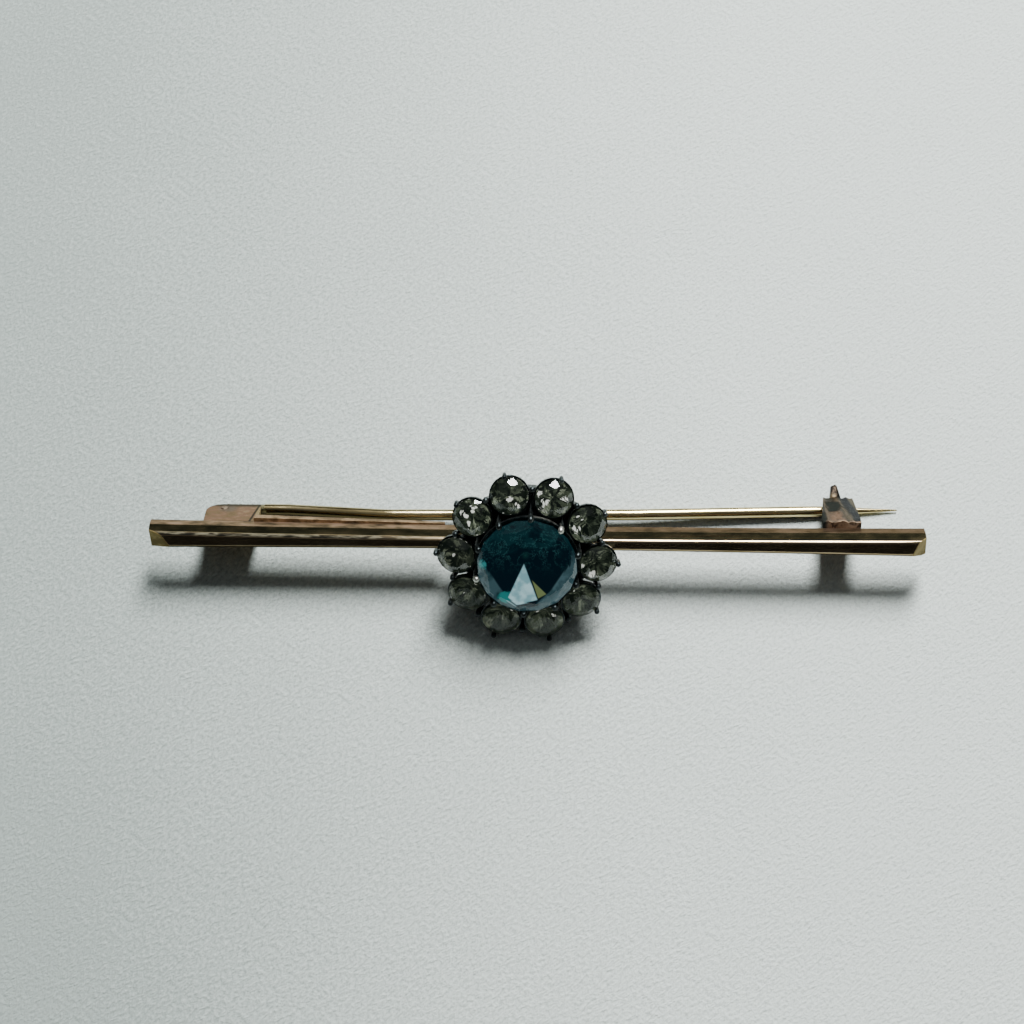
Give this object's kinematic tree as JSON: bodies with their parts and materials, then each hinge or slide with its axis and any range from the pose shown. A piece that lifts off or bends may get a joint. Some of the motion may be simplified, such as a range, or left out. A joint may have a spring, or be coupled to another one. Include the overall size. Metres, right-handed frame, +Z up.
{
  "type": "bar brooch",
  "caption": "Bar brooch with a round cluster: a blue faceted stone ringed by small clear stones in claws, with a hinged pin and an open catch.",
  "frame": {"origin": "centre of the lying brooch's bounding box, on the surface that it lies on", "axes": "+X along the bar from the hinge to the catch, +Z up from the surface, and the stones face -Y and up"},
  "size_m": [0.0508, 0.0115, 0.0096],
  "materials": {
    "gold": "worn satin, unpolished at the hinge and catch",
    "pin_wire": "drawn and polished, dulled by handling",
    "oxidised_silver": "blackened by tarnish, bright on the claw tips",
    "blue_stone": "faceted and polished, scuffed on the upper facets",
    "clear_stone": "faceted and polished"
  },
  "bodies": {
    "brooch": {"bar": "gold", "setting": "oxidised_silver", "hinge": "gold", "rivet": "gold", "catch": "gold", "centre_stone": "blue_stone", "stone_1": "clear_stone", "stone_2": "clear_stone", "stone_3": "clear_stone", "stone_4": "clear_stone", "stone_5": "clear_stone", "stone_6": "clear_stone", "stone_7": "clear_stone", "stone_8": "clear_stone", "stone_9": "clear_stone", "stone_10": "clear_stone"},
    "pin": {"pin": "pin_wire"}
  },
  "joints": [
    {"name": "pin_hinge", "type": "hinge", "parent": "brooch", "child": "pin", "pos_m": [-0.0208, 0.00298, 0.001], "axis": [0, 0.616, 0.7877], "range_deg": [0, 75]}
  ]
}
